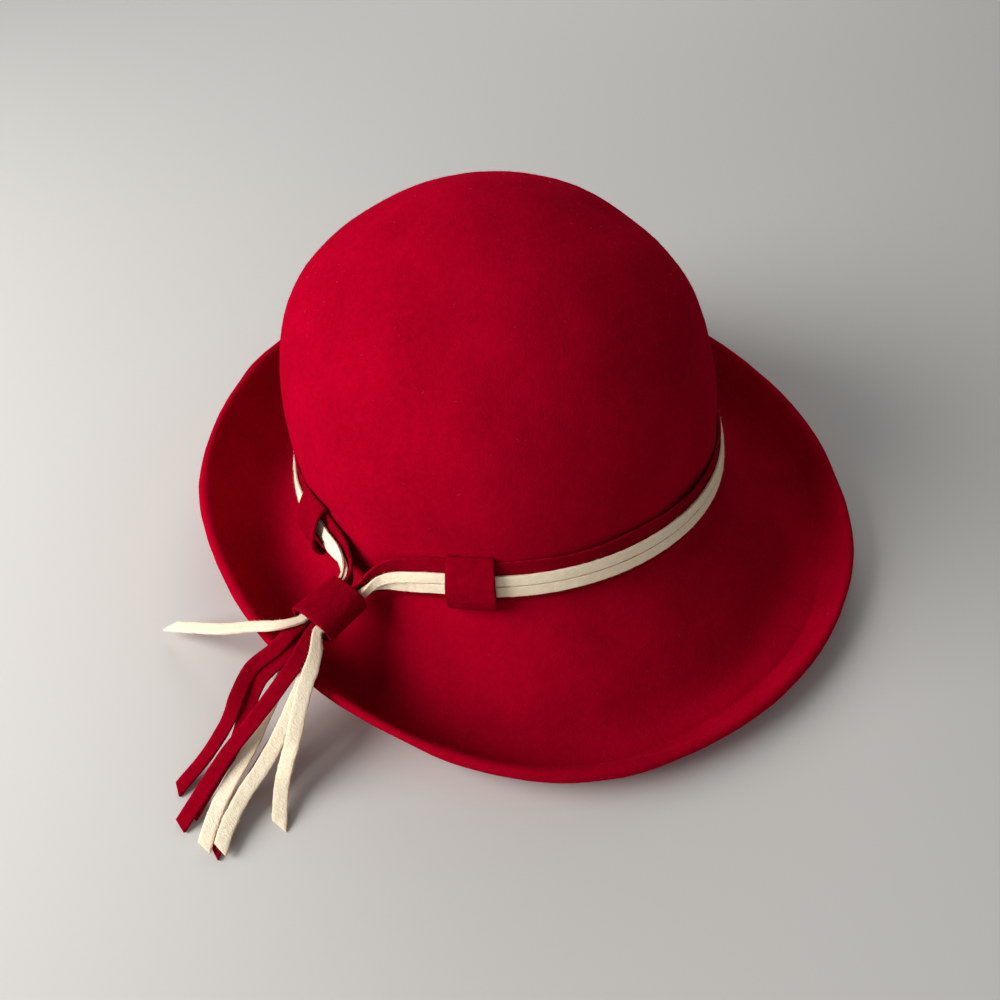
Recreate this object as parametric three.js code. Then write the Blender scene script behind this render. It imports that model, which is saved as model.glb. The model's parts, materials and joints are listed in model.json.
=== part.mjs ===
// A cloche hat of blocked wool felt, resting on a table.
//
// Millimetres, +Z up. The origin is on the table under the middle of the brim. The wearer faces -Y
// and the wearer's left is +X. A direction round the hat is an angle in degrees: 0 is the front,
// 90 the wearer's left, 180 the back and -90 the right, where the lace ends hang.

import * as THREE from 'three';
import { LoftGeometry } from 'three/addons/geometries/LoftGeometry.js';

const { MathUtils, Vector3 } = THREE;
const { degToRad, euclideanModulo, lerp } = MathUtils;

// ---- Driving dimensions ----

const FELT = 2.5;           // wall of the blocked felt
const GAP = 0.3;            // clearance between pieces that touch on the real hat
const CROWN_Y = 18.25;      // the crown stands this far behind the middle of the brim
const BAND_LEVEL = 41.6;    // height of the crown's axis at the top of the band
const LEAN = degToRad(10);  // the crown leans back

const CROWN = {
  front: 95,        // half the length at the band
  side: 91.4,       // half the width at the band
  height: 104,      // from the top of the band to the apex, along the leaning axis
  taper: 0.052,     // share by which the sides draw in before they round over
  bulge: 3.45,      // how late the sides round over
  shoulder: 1.52,   // how full the shoulder is
  apexX: -3,        // the apex lies a little to the right
  apexY: 4,         // and a little back
  press: 1.6,       // the band presses the felt in
  pressFade: 5,     // and the felt recovers over this height
};

const DENT = { x: 50, y: 10, z: 128, radius: 24, depth: 2.5 };

// The crown's foot under the band: straight down to the fillet that turns into the brim.
const WALL = { depth: 21, straight: 17.7, flare: 3.8, fillet: 3.2 };
const STEEP = { at: 50, spread: 30, share: 0.55 };   // it flares less on the wearer's left front

const HEM = { width: 11.5, thick: 5, step: 0.8 };    // the rim, folded under
const SETTLED = 0.3;        // felt that comes this near the table lies flat on it

// The brim on either side of the front. edge and rise are the reach of the rim from the crown's
// axis and its height. valley says how far out the brim is lowest, as a share of the way from
// crown to rim, and low is the height of its upper face there. skew is how much further the rim
// reaches on the wearer's left, and how much less on the right.
const BRIM = [
  { at: 0, edge: 160.5, rise: 9, valley: 0.80, low: 0.8, skew: 0 },
  { at: 30, edge: 159.5, rise: 12, valley: 0.78, low: 0.8, skew: 1.2 },
  { at: 60, edge: 146.5, rise: 19, valley: 0.68, low: 2.4, skew: 0.8 },
  { at: 90, edge: 137, rise: 21.5, valley: 0.58, low: 5, skew: 1 },
  { at: 120, edge: 134.5, rise: 26, valley: 0.50, low: 5, skew: 0.3 },
  { at: 150, edge: 129.5, rise: 31, valley: 0.38, low: 3, skew: 0 },
  { at: 180, edge: 125, rise: 34, valley: 0.33, low: 0.8, skew: 0 },
];
const VALLEY_LEG = { longest: 22, inner: 0.5, outer: 0.7 };  // roundness of the valley

const STRIP = { height: 17.5, thick: 1.3 };
// upper and lower are how far the laces' middles lie below the strip's top edge, and offset how
// far they lie apart from its middle where they are gathered. lift is the share of gathering over
// which the upper one lifts its lower edge, before it slides over the lower one.
const LACE = { width: 4.4, thick: 1.1, upper: 7.8, lower: 12.5, offset: 0.3, lift: 0.2 };

// Where the strip leaves the crown for the slide, one table for each end. x, y, z is the middle of
// the strip, height its width, upright how far it has turned from the crown's slope to plumb, and
// gather how far the two laces have slid over each other.
const FRONT_END = {
  leaves: -54,
  rows: [
    { x: -82.9, y: -27.9, z: 39.0, height: 16.5, upright: 0.1, gather: 0.2 },
    { x: -87.0, y: -22.8, z: 37.2, height: 15.5, upright: 0.3, gather: 0.4 },
    { x: -91.0, y: -19.3, z: 35.2, height: 13.5, upright: 0.6, gather: 0.6 },
    { x: -95.2, y: -17.5, z: 33.0, height: 10, upright: 0.9, gather: 0.9 },
    { x: -99.5, y: -17.3, z: 31.4, height: 6.5, upright: 1, gather: 1 },
    { x: -105, y: -18.6, z: 30.7, height: 6, upright: 1, gather: 1 },
  ],
};
const BACK_END = {
  leaves: 270,
  rows: [
    { x: -93.6, y: 11.3, z: 33.4, height: 16.5, upright: -0.5, gather: 0.2 },
    { x: -93.9, y: 3.8, z: 34.2, height: 14, upright: -1, gather: 0.4 },
    { x: -94.2, y: -3.2, z: 34.2, height: 11.5, upright: -0.5, gather: 0.7 },
    { x: -96.0, y: -8.7, z: 33.0, height: 8.5, upright: 0.5, gather: 1 },
    { x: -100.0, y: -12.0, z: 31.4, height: 6.5, upright: 1, gather: 1 },
    { x: -105.5, y: -13.4, z: 30.7, height: 6, upright: 1, gather: 1 },
  ],
};

// A keeper's run from over the strip's top edge to below its lower edge: out is measured from the
// crown's wall, drop from the top of the band.
const KEEPER = { width: 17.6, thick: 1.7 };
const KEEPER_RUN = [
  { out: 1.2, drop: -1.2 },
  { out: 2.4, drop: -0.9 },
  { out: 4.0, drop: 1.6 },
  { out: 5.8, drop: 6.5 },
  { out: 6.6, drop: 11.5 },
  { out: 6.0, drop: 14.5 },
  { out: 4.9, drop: 17 },
  { out: 3.2, drop: 19 },
];
const KEEPERS = [
  { name: 'keeper_front', at: -46.4, lift: 0.6 },
  { name: 'keeper_side', at: -94, lift: 2.2 },
];

// The slide: a flattened felt ring, lying level beside the crown.
const SLIDE = {
  centre: new Vector3(-111, -17.25, 30.5),
  points: degToRad(-77),   // the direction its mouth points to
  nod: degToRad(3),        // the mouth is a little lower
  length: 20,
  entrance: { width: 19, thick: 11.5 },
  mouth: { width: 21, thick: 11.5 },
  wall: 1.8,
  squareness: 4,
};

// The free ends, from just inside the slide's mouth over the rim to the table. Each route is the
// middle of a flat ribbon. From the table up lie an under red, the two middle creams, the other
// under red, the two upper reds, and the creams that part to left and right.
const CREAM_END = { width: 5.6, thick: 1.2 };
const RED_END = { width: 6, thick: 1.3 };
const SLIM_RED_END = { width: 4.8, thick: 1.3 };
const FREE_ENDS = [
  { name: 'tail_cream_left', ...CREAM_END, route: [
    [-119, -15, 32], [-123, -16, 32], [-131, -13, 32], [-138, -4, 27], [-146, 6, 21],
    [-153, 18, 14], [-160, 32, 5],
  ] },
  { name: 'tail_cream_right', ...CREAM_END, route: [
    [-117, -24, 32.3], [-121, -25, 32.3], [-127, -33, 31.2], [-137, -41, 26.5], [-147, -50, 20],
    [-152, -53, 14.5], [-158, -57, 7], [-165, -66, 1],
  ] },
  { name: 'tail_red_outer', ...RED_END, route: [
    [-118, -15, 30.5], [-123, -16, 30.5], [-129, -18, 30.5], [-136, -19, 28], [-146, -19, 25],
    [-155, -24, 22], [-160, -27, 18], [-166, -28.5, 12.5], [-175, -30, 6], [-187, -32, 1],
  ] },
  { name: 'tail_red_second', ...RED_END, route: [
    [-117, -22, 30.5], [-121, -22, 30.5], [-127, -26, 30.5], [-134, -30, 29], [-144, -33, 25],
    [-156, -36, 20], [-168, -38, 14], [-178, -41, 9], [-192, -45, 1],
  ] },
  { name: 'tail_cream_middle', ...CREAM_END, route: [
    [-117, -22, 29], [-121, -24, 29], [-125, -30, 28], [-135, -37, 26], [-146, -43, 20],
    [-158, -48, 13], [-170, -52, 8], [-179, -57, 5], [-185, -62, 3],
  ] },
  { name: 'tail_cream_inner', ...CREAM_END, route: [
    [-118, -16, 27.2], [-122, -17, 27.2], [-129, -22.5, 26], [-136, -27, 24], [-144, -31, 21],
    [-152, -35, 16.5], [-160, -39.5, 12.5], [-170, -44.5, 9], [-180, -50, 5.5], [-189, -58, 3],
  ] },
  { name: 'tail_red_under_a', ...SLIM_RED_END, route: [
    [-118, -16, 29], [-122, -17, 29], [-129, -20.5, 28], [-136, -23, 26.2], [-146, -24.3, 23],
    [-155, -29.5, 18], [-164, -35.5, 12], [-172, -38.5, 8.5], [-180, -41.5, 4.5], [-187, -44, 1],
  ] },
  { name: 'tail_red_under_b', ...SLIM_RED_END, route: [
    [-117, -22.5, 27.2], [-121, -23.5, 27.2], [-127, -29, 25.5], [-134, -34.5, 23.2], [-143, -39.5, 18.5],
    [-154, -44, 12.5], [-166, -48.5, 7], [-176, -53, 3.2], [-187, -61, 1],
  ] },
];

// ---- Helpers ----

const up = new Vector3(0, 0, 1);
const heading = (deg) => new Vector3(Math.sin(degToRad(deg)), -Math.cos(degToRad(deg)), 0);
const toward = (from, to, length) =>
  from.clone().addScaledVector(to.clone().sub(from).normalize(), length);
const share = (i, count) => i / (count - 1);
const halfTurned = (deg) => euclideanModulo(deg + 180, 360) - 180;   // from -180 to 180

// A smooth value between the rows of a table; turns 0 and 180 level, so both sides join smoothly.
function tableCurve(rows, names) {
  const curve = new THREE.CubicInterpolant(
    rows.map((row) => row.at),
    rows.flatMap((row) => names.map((name) => row[name])),
    names.length,
  );
  curve.settings = { endingStart: THREE.ZeroSlopeEnding, endingEnd: THREE.ZeroSlopeEnding };
  return (at) => Array.from(curve.evaluate(at));
}

// From the crown's own frame, whose w runs up its axis from the top of the band.
function leaned(x, y, w) {
  const c = Math.cos(LEAN);
  const s = Math.sin(LEAN);
  return new Vector3(x, CROWN_Y + y * c + w * s, BAND_LEVEL - y * s + w * c);
}

// ---- Felt body ----

const DIRECTIONS = 60;
const CROWN_RINGS = 11;
const BRIM_RINGS = 12;
const HEM_INNER = 15;
const NOSE_TURNS = [45, 90, 135];

// A point of the crown's outer face; rise runs from 0 at the band to 1 at the apex.
function crownPoint(deg, rise) {
  const a = degToRad(deg);
  const round = Math.pow(1 - Math.pow(rise, CROWN.bulge), 1 / CROWN.shoulder);
  const scale = (1 - CROWN.taper * rise) * round;
  const press = CROWN.press * Math.exp(-rise * CROWN.height / CROWN.pressFade);
  return leaned(
    (CROWN.side * scale - press) * Math.sin(a) + CROWN.apexX * rise,
    -(CROWN.front * scale - press) * Math.cos(a) + CROWN.apexY * rise,
    CROWN.height * rise,
  );
}

// How far the foot flares out over its whole depth, in one direction.
function wallFlare(deg) {
  const away = (halfTurned(deg) - STEEP.at) / STEEP.spread;
  return WALL.flare * (1 - STEEP.share * Math.exp(-away * away));
}

// A point out from the crown's wall, drop below the top of the band.
function wallPoint(deg, drop, out = 0) {
  const a = degToRad(deg);
  const normal = new Vector3(Math.sin(a) / CROWN.side, -Math.cos(a) / CROWN.front, 0).normalize();
  const reach = wallFlare(deg) * drop / WALL.depth - CROWN.press + out;
  return leaned(
    CROWN.side * Math.sin(a) + normal.x * reach,
    -CROWN.front * Math.cos(a) + normal.y * reach,
    -drop,
  );
}

const brimRow = tableCurve(BRIM, ['edge', 'rise', 'valley', 'low', 'skew']);

// The brim's upper face in one direction: from low on the wall round its foot, down to the valley
// and up to the lip. The valley's corner is lowered until the rounded valley's lowest point is right.
function brimPath(deg) {
  const turned = halfTurned(deg);
  const [edge, rise, valleyShare, low, skew] = brimRow(Math.abs(turned));
  const wallLow = wallPoint(deg, WALL.straight);
  const foot = wallPoint(deg, WALL.depth);
  const reach = edge + Math.sign(turned) * skew;
  const rim = heading(deg).multiplyScalar(reach).add(new Vector3(0, CROWN_Y, rise));
  const valley = foot.clone().lerp(rim, valleyShare);
  valley.z = low;
  let lip, before, after;
  for (let pass = 0; pass < 8; pass++) {
    const out = rim.clone().sub(valley).normalize();
    const flat = out.clone().setZ(0).normalize();
    const face = flat.clone().multiplyScalar(-out.z).setZ(out.dot(flat));
    lip = rim.clone().addScaledVector(flat, -HEM.thick / 2).addScaledVector(face, HEM.thick / 2);
    const inner = Math.min(VALLEY_LEG.longest, VALLEY_LEG.inner * valley.distanceTo(foot));
    const outer = Math.min(VALLEY_LEG.longest, VALLEY_LEG.outer * valley.distanceTo(lip));
    before = toward(valley, foot, inner);
    after = toward(valley, lip, outer);
    const h1 = before.z - valley.z;
    const h2 = after.z - valley.z;
    valley.z = low - h1 * h2 / (h1 + h2);
  }
  const fillet = Math.min(WALL.fillet, 0.4 * foot.distanceTo(valley));
  const footIn = toward(foot, wallLow, fillet);
  const footOut = toward(foot, valley, fillet);
  const path = new THREE.CurvePath();
  path.add(new THREE.LineCurve3(wallLow, footIn));
  path.add(new THREE.QuadraticBezierCurve3(footIn, foot, footOut));
  path.add(new THREE.LineCurve3(footOut, before));
  path.add(new THREE.QuadraticBezierCurve3(before, valley, after));
  path.add(new THREE.LineCurve3(after, lip));
  return path;
}

// Distances back from the lip where the hem's rings lie, and the felt's thickness at each.
const HEM_RINGS = [
  { back: HEM_INNER, thick: FELT },
  { back: HEM.width, thick: FELT },
  { back: HEM.width - HEM.step, thick: HEM.thick },
  { back: 7, thick: HEM.thick },
  { back: 3, thick: HEM.thick },
  { back: 0, thick: HEM.thick },
];

// The dent: the felt is pushed in round its middle and stands a little proud round that.
function dentDepth(point) {
  const away = point.distanceTo(new Vector3(DENT.x, DENT.y, DENT.z)) / DENT.radius;
  return DENT.depth * (1 - away * away) * Math.exp(-away * away);
}

// One column of the outer face, from the apex to the lip, and the felt's thickness down it.
function bodyColumn(deg) {
  const points = [];
  for (let i = CROWN_RINGS - 1; i > 0; i--) {
    points.push(crownPoint(deg, Math.sin(share(i, CROWN_RINGS) * Math.PI / 2)));
  }
  points.push(wallPoint(deg, 0), wallPoint(deg, WALL.straight / 2));
  const thick = points.map(() => FELT);
  const path = brimPath(deg);
  const length = path.getLength();
  for (let i = 0; i < BRIM_RINGS; i++) {
    points.push(path.getPoint(i / BRIM_RINGS * (1 - HEM_INNER / length)));
    thick.push(FELT);
  }
  for (const ring of HEM_RINGS) {
    points.push(path.getPoint(1 - ring.back / length));
    thick.push(ring.thick);
  }
  return { points, thick };
}

function bodyGeometry() {
  const columns = [];
  for (let j = 0; j < DIRECTIONS; j++) columns.push(bodyColumn(-j * 360 / DIRECTIONS));
  const count = columns[0].points.length;
  const at = (j, i) => columns[euclideanModulo(j, DIRECTIONS)].points[MathUtils.clamp(i, 0, count - 1)];

  // Outward normals from the neighbouring points; the apex takes the mean of the ring below it.
  const normals = columns.map((column, j) => column.points.map((point, i) => {
    const down = at(j, i + 1).clone().sub(at(j, i - 1));
    const round = at(j + 1, i).clone().sub(at(j - 1, i));
    return round.cross(down).normalize();
  }));
  const top = new Vector3();
  for (const column of normals) top.add(column[1]);
  top.normalize();
  for (const column of normals) column[0].copy(top);

  const outer = [];
  const inner = [];
  for (let i = 0; i < count; i++) {
    outer.push(columns.map((column, j) => {
      const point = column.points[i].clone().addScaledVector(normals[j][i], -dentDepth(column.points[i]));
      return point.setZ(Math.max(point.z, FELT));
    }));
    inner.push(outer[i].map((point, j) => {
      const under = point.clone().addScaledVector(normals[j][i], -columns[j].thick[i]);
      return under.setZ(under.z < SETTLED ? 0 : under.z);
    }));
  }

  // The rim's rounded nose, from the lip's upper face round to its under face.
  const nose = NOSE_TURNS.map((turn) => outer[count - 1].map((lip, j) => {
    const middle = lip.clone().add(inner[count - 1][j]).multiplyScalar(0.5);
    const out = lip.clone().sub(outer[count - 2][j]).normalize();
    const rise = lip.clone().sub(middle);
    return middle
      .addScaledVector(rise, Math.cos(degToRad(turn)))
      .addScaledVector(out, rise.length() * Math.sin(degToRad(turn)));
  }));
  return new LoftGeometry([...outer, ...nose, ...inner.reverse()]);
}

// ---- Strip and laces ----

const RING_STEP = 6;

// Sets one more frame between each two, on a smooth curve through their middles.
function doubled(frames) {
  const curve = new THREE.CatmullRomCurve3(frames.map((frame) => frame.middle));
  return frames.flatMap((frame, i) => {
    if (i === frames.length - 1) return [frame];
    const next = frames[i + 1];
    return [frame, {
      middle: curve.getPoint((i + 0.5) / (frames.length - 1)),
      across: frame.across.clone().add(next.across).normalize(),
      height: (frame.height + next.height) / 2,
      gather: (frame.gather + next.gather) / 2,
    }];
  });
}

// Frames along the strip: its middle, the direction across it and the direction away from the
// crown. They run from inside the slide round the front, left and back to the slide again.
function stripFrames() {
  const ringFrame = (deg) => {
    const out = GAP + STRIP.thick / 2;
    const across = wallPoint(deg, 0, out).sub(wallPoint(deg, STRIP.height, out)).normalize();
    return { middle: wallPoint(deg, STRIP.height / 2, out), across, height: STRIP.height, gather: 0 };
  };
  const endFrame = (row, slope) => ({
    middle: new Vector3(row.x, row.y, row.z),
    across: slope.clone().lerp(up, row.upright).normalize(),
    height: row.height,
    gather: row.gather,
  });
  const ring = [];
  for (let deg = FRONT_END.leaves; deg <= BACK_END.leaves; deg += RING_STEP) ring.push(ringFrame(deg));
  const frontSlope = ring[0].across;
  const backSlope = ring[ring.length - 1].across;
  const frames = [
    ...doubled([...FRONT_END.rows.toReversed().map((row) => endFrame(row, frontSlope)), ring[0]]),
    ...ring.slice(1, -1),
    ...doubled([ring[ring.length - 1], ...BACK_END.rows.map((row) => endFrame(row, backSlope))]),
  ];
  frames.forEach((frame, i) => {
    const next = frames[Math.min(i + 1, frames.length - 1)].middle;
    const last = frames[Math.max(i - 1, 0)].middle;
    frame.out = next.clone().sub(last).cross(frame.across).normalize();
  });
  return frames;
}

const onFrame = (frame, across, out) =>
  frame.middle.clone().addScaledVector(frame.across, across).addScaledVector(frame.out, out);

const plainSection = (width, thick) => [
  [-width / 2, thick / 2], [-width / 2, -thick / 2], [width / 2, -thick / 2], [width / 2, thick / 2],
];

const capped = (sections) => new LoftGeometry(sections, { capStart: true, capEnd: true });

function stripGeometry(frames) {
  return capped(frames.map((frame) =>
    plainSection(frame.height, STRIP.thick).map(([across, out]) => onFrame(frame, across, out))));
}

// Where each lace's middle lies on the strip, and how far it tips: round the crown both lie flat,
// one above the other. Toward the slide the upper one lifts its lower edge, and they slide over
// each other until one lies square on the other.
function lacePlaces(frame) {
  const middle = STRIP.height / 2;
  const rest = STRIP.thick / 2 + GAP * (1 + frame.gather);
  const onLower = rest + LACE.thick + GAP;
  const lifted = Math.min(1, frame.gather / LACE.lift);
  const slid = Math.max(0, (frame.gather - LACE.lift) / (1 - LACE.lift));
  const lower = {
    across: lerp(middle - LACE.lower, -LACE.offset, slid),
    out: rest + LACE.thick / 2,
    tip: 0,
  };
  const topEdge = lerp(middle - LACE.upper, LACE.offset, slid) + LACE.width / 2;
  const start = lerp(rest, onLower, slid);
  const run = Math.min(LACE.width, topEdge - lower.across - LACE.width / 2);
  const tip = lifted * Math.atan2(onLower - start, run);
  const c = Math.cos(tip);
  const s = Math.sin(tip);
  const upper = {
    across: topEdge - c * LACE.width / 2 + s * LACE.thick / 2,
    out: start + s * LACE.width / 2 + c * LACE.thick / 2,
    tip,
  };
  return { lower, upper };
}

function laceGeometry(frames, which) {
  return capped(frames.map((frame) => {
    const place = lacePlaces(frame)[which];
    const c = Math.cos(place.tip);
    const s = Math.sin(place.tip);
    return plainSection(LACE.width, LACE.thick).map(([across, out]) =>
      onFrame(frame, place.across + across * c + out * s, place.out - across * s + out * c));
  }));
}

// ---- Keepers ----

const KEEPER_COLUMNS = 5;
const KEEPER_STEPS = 14;

// A short strap over strip and laces; lift raises the edge on the slide's side.
function keeperGeometry({ at, lift }) {
  const run = new THREE.SplineCurve(KEEPER_RUN.map(({ out, drop }) => new THREE.Vector2(out, drop)));
  const halfTurn = MathUtils.radToDeg(KEEPER.width / 2 / CROWN.side);
  const columns = [];
  for (let i = 0; i < KEEPER_COLUMNS; i++) {
    const side = 2 * share(i, KEEPER_COLUMNS) - 1;
    const deg = at + side * halfTurn;
    const raised = lift * Math.max(0, side) ** 2;
    const ring = [];
    for (const face of [1, -1]) {
      for (let k = 0; k < KEEPER_STEPS; k++) {
        const along = share(face > 0 ? k : KEEPER_STEPS - 1 - k, KEEPER_STEPS);
        const point = run.getPoint(along);
        const tangent = run.getTangent(along);
        const bow = raised * Math.sin(Math.PI * along) ** 0.5;
        ring.push(wallPoint(
          deg,
          point.y - face * tangent.x * KEEPER.thick / 2,
          point.x + face * tangent.y * KEEPER.thick / 2 + bow,
        ));
      }
    }
    columns.push(ring);
  }
  return capped(columns);
}

// ---- Slide ----

const SLIDE_POINTS = 28;

function slideGeometry() {
  const c = Math.cos(SLIDE.nod);
  const axis = new Vector3(Math.sin(SLIDE.points) * c, -Math.cos(SLIDE.points) * c, -Math.sin(SLIDE.nod));
  const wide = up.clone().cross(axis).normalize();
  const rise = axis.clone().cross(wide);
  const bent = (value) => Math.sign(value) * Math.abs(value) ** (2 / SLIDE.squareness);
  const ring = (side, size, inset) => {
    const points = [];
    for (let i = 0; i < SLIDE_POINTS; i++) {
      const turn = 2 * Math.PI * i / SLIDE_POINTS;
      points.push(SLIDE.centre.clone()
        .addScaledVector(axis, side * SLIDE.length / 2)
        .addScaledVector(wide, (size.width / 2 - inset) * bent(Math.cos(turn)))
        .addScaledVector(rise, (size.thick / 2 - inset) * bent(Math.sin(turn))));
    }
    return points;
  };
  return new LoftGeometry([
    ring(-1, SLIDE.entrance, 0),
    ring(1, SLIDE.mouth, 0),
    ring(1, SLIDE.mouth, SLIDE.wall),
    ring(-1, SLIDE.entrance, SLIDE.wall),
    ring(-1, SLIDE.entrance, 0),
  ]);
}

// ---- Free ends ----

const END_STEPS = 18;

// A flat section with its four corners taken off, as [across, out] pairs.
function softSection(width, thick) {
  const w = width / 2;
  const t = thick / 2;
  const corner = 0.6 * t;
  return [
    [-w, t - corner], [-w, corner - t], [corner - w, -t], [w - corner, -t],
    [w, corner - t], [w, t - corner], [w - corner, t], [corner - w, t],
  ];
}

// A ribbon that lies flat along its route: level across, its face square to the route.
function freeEndGeometry({ route, width, thick }) {
  const curve = new THREE.CatmullRomCurve3(route.map((point) => new Vector3(...point)));
  const sections = [];
  for (let i = 0; i <= END_STEPS; i++) {
    const middle = curve.getPointAt(i / END_STEPS);
    const ahead = curve.getTangentAt(i / END_STEPS);
    const across = up.clone().cross(ahead).normalize();
    const face = ahead.clone().cross(across).normalize();
    sections.push(softSection(width, thick).map(([side, out]) =>
      middle.clone().addScaledVector(across, side).addScaledVector(face, out)));
  }
  return capped(sections);
}

// ---- Assembly ----

const hat = new THREE.Group();
const frames = stripFrames();

function addPiece(name, geometry, color) {
  const material = new THREE.MeshStandardMaterial({ color, roughness: 0.95, metalness: 0 });
  const mesh = new THREE.Mesh(geometry, material);
  mesh.name = name;
  hat.add(mesh);
}

const RED = 0xb3041f;
const CREAM = 0xf0e0c4;

addPiece('felt_body', bodyGeometry(), RED);
addPiece('band_strip', stripGeometry(frames), RED);
addPiece('lace_upper', laceGeometry(frames, 'upper'), CREAM);
addPiece('lace_lower', laceGeometry(frames, 'lower'), CREAM);
for (const keeper of KEEPERS) addPiece(keeper.name, keeperGeometry(keeper), RED);
addPiece('slide_tube', slideGeometry(), RED);
for (const end of FREE_ENDS) {
  addPiece(end.name, freeEndGeometry(end), end.name.includes('cream') ? CREAM : RED);
}

export default hat;
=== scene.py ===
# %% [markdown]
# # A red felt cloche with lace ends
#
# The hat is one blocked piece of wool felt: a round crown, and a brim that dips and turns up to a
# folded hem. A flat strip of the same felt runs round the foot of the crown, with two cream laces
# on it. Two short straps, the keepers, hold them, and a felt slide gathers the ends at the wearer's
# right. This lesson starts from the measured solids and gives each of them its real surface.

# %% Load the measured hat
import json
import math

import bpy
import numpy as np
from mathutils import Matrix, Vector, noise
from mathutils.bvhtree import BVHTree

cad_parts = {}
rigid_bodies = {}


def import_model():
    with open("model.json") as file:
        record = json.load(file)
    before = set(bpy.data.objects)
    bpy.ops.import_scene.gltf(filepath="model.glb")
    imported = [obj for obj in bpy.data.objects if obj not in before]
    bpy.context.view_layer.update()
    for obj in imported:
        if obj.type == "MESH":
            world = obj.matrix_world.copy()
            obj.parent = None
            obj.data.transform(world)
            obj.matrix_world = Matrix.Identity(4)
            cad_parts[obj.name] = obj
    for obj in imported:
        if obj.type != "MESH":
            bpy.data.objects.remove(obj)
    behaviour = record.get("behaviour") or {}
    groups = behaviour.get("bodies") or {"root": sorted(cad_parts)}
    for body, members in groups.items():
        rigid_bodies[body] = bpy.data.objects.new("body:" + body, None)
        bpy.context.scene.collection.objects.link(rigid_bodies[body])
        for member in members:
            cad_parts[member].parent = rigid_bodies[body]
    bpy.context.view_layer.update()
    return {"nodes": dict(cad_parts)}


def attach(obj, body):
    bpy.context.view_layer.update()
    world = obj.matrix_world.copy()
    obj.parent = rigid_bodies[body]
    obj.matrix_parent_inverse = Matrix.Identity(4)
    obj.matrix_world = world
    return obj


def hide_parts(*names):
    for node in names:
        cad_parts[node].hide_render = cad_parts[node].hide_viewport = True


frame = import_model()
MM = 0.001
print(len(frame["nodes"]), "nodes:", ", ".join(sorted(frame["nodes"])))

# %% [markdown]
# ## The camera
#
# The hat lies on a table and is seen from its front right, from above. A camera is a point and
# three directions: where it looks, what is to its right, and what is up. Built from a heading, a dip
# and a small roll, the three stay square to each other. It stands close, with a slightly wide lens,
# which gives the crown its strong perspective.

# %% Camera
EYE = Vector((-185.5, -210.3, 307.9)) * MM
HEADING = math.radians(51.06)    # from +X towards +Y
DIP = math.radians(47.5)
ROLL = math.radians(1.1)
LENS = 32.1


def make_camera():
    level = Vector((math.sin(HEADING), -math.cos(HEADING), 0))
    ahead = Vector((math.cos(HEADING) * math.cos(DIP), math.sin(HEADING) * math.cos(DIP), -math.sin(DIP)))
    above = level.cross(ahead)
    right = level * math.cos(ROLL) + above * math.sin(ROLL)
    top = above * math.cos(ROLL) - level * math.sin(ROLL)
    camera = bpy.data.objects.new("camera", bpy.data.cameras.new("camera"))
    camera.data.lens = LENS
    camera.data.clip_start = 0.01
    camera.matrix_world = Matrix.Translation(EYE) @ Matrix((right, top, -ahead)).transposed().to_4x4()
    bpy.context.scene.collection.objects.link(camera)
    bpy.context.scene.camera = camera
    return camera


camera = make_camera()
print("camera at", [round(v, 3) for v in camera.matrix_world.translation])

# %% [markdown]
# ## Small tools
#
# An operator works on all that is selected, so each one is preceded by selecting exactly the piece
# it is meant for. Fine shaping, such as a wandering edge, moves the points of a mesh along their
# normals by a soft noise, and numpy moves them all at once.

# %% Selecting, and reading and moving points
def select_only(piece):
    for other in bpy.context.view_layer.objects:
        other.select_set(False)
    piece.select_set(True)
    bpy.context.view_layer.objects.active = piece


def read(data, name, width=3):
    flat = np.empty(len(data) * width)
    data.foreach_get(name, flat)
    return flat.reshape(-1, width) if width > 1 else flat


def points_of(piece):
    return read(piece.data.vertices, "co")


def normals_of(piece):
    return read(piece.data.vertices, "normal")


def move_to(piece, points):
    piece.data.vertices.foreach_set("co", points.astype(np.float32).ravel())
    piece.data.update()


def store_mask(piece, name, values):
    layer = piece.data.attributes.new(name, "FLOAT", "POINT")
    layer.data.foreach_set("value", np.asarray(values, np.float32))


def ease(low, high, values):
    t = np.clip((values - low) / (high - low), 0, 1)
    return t * t * (3 - 2 * t)


def unit(vectors):
    return vectors / np.linalg.norm(vectors, axis=1)[:, None]


def waves(points, size, seed):
    """Soft noise between about -0.5 and 0.5, whose lumps are about size across, in metres."""
    shift = Vector((seed * 1.7, seed * 2.3, seed * 3.1))
    return np.array([noise.noise(Vector(p) / size + shift) for p in points])


# %% [markdown]
# ## Pieces of the object
#
# Each piece says which body it rides on, and which measured node it stands in for, if any. A mesh
# made from lists of points gets its place in its mesh, so its object stays at the origin.

# %% Making and declaring a piece
def new_piece(name, vertices, faces):
    mesh = bpy.data.meshes.new(name)
    mesh.from_pydata([tuple(v) for v in vertices], [], faces)
    mesh.polygons.foreach_set("use_smooth", [True] * len(mesh.polygons))
    piece = bpy.data.objects.new(name, mesh)
    bpy.context.scene.collection.objects.link(piece)
    return piece


def declare(piece, node=None):
    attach(piece, "root")
    if node:
        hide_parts(node)


# %% [markdown]
# ## The loose ends: their routes
#
# Eight flat ends leave the slide's mouth, pass over the rim and come down to the table. From the
# table up lie an under red, the two middle creams, the other under red, the two upper reds, and the
# creams that part to left and right. A row is a place that the middle of the end passes, in
# millimetres, and how far it leans over there, in degrees: minus turns its face toward the front.
# Ragged is how far a cut edge strays, and slant how far the tip is cut askew, both in millimetres.
# Pinch and narrow are the shares of the width that an end loses at the slide and at its tip.

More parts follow.
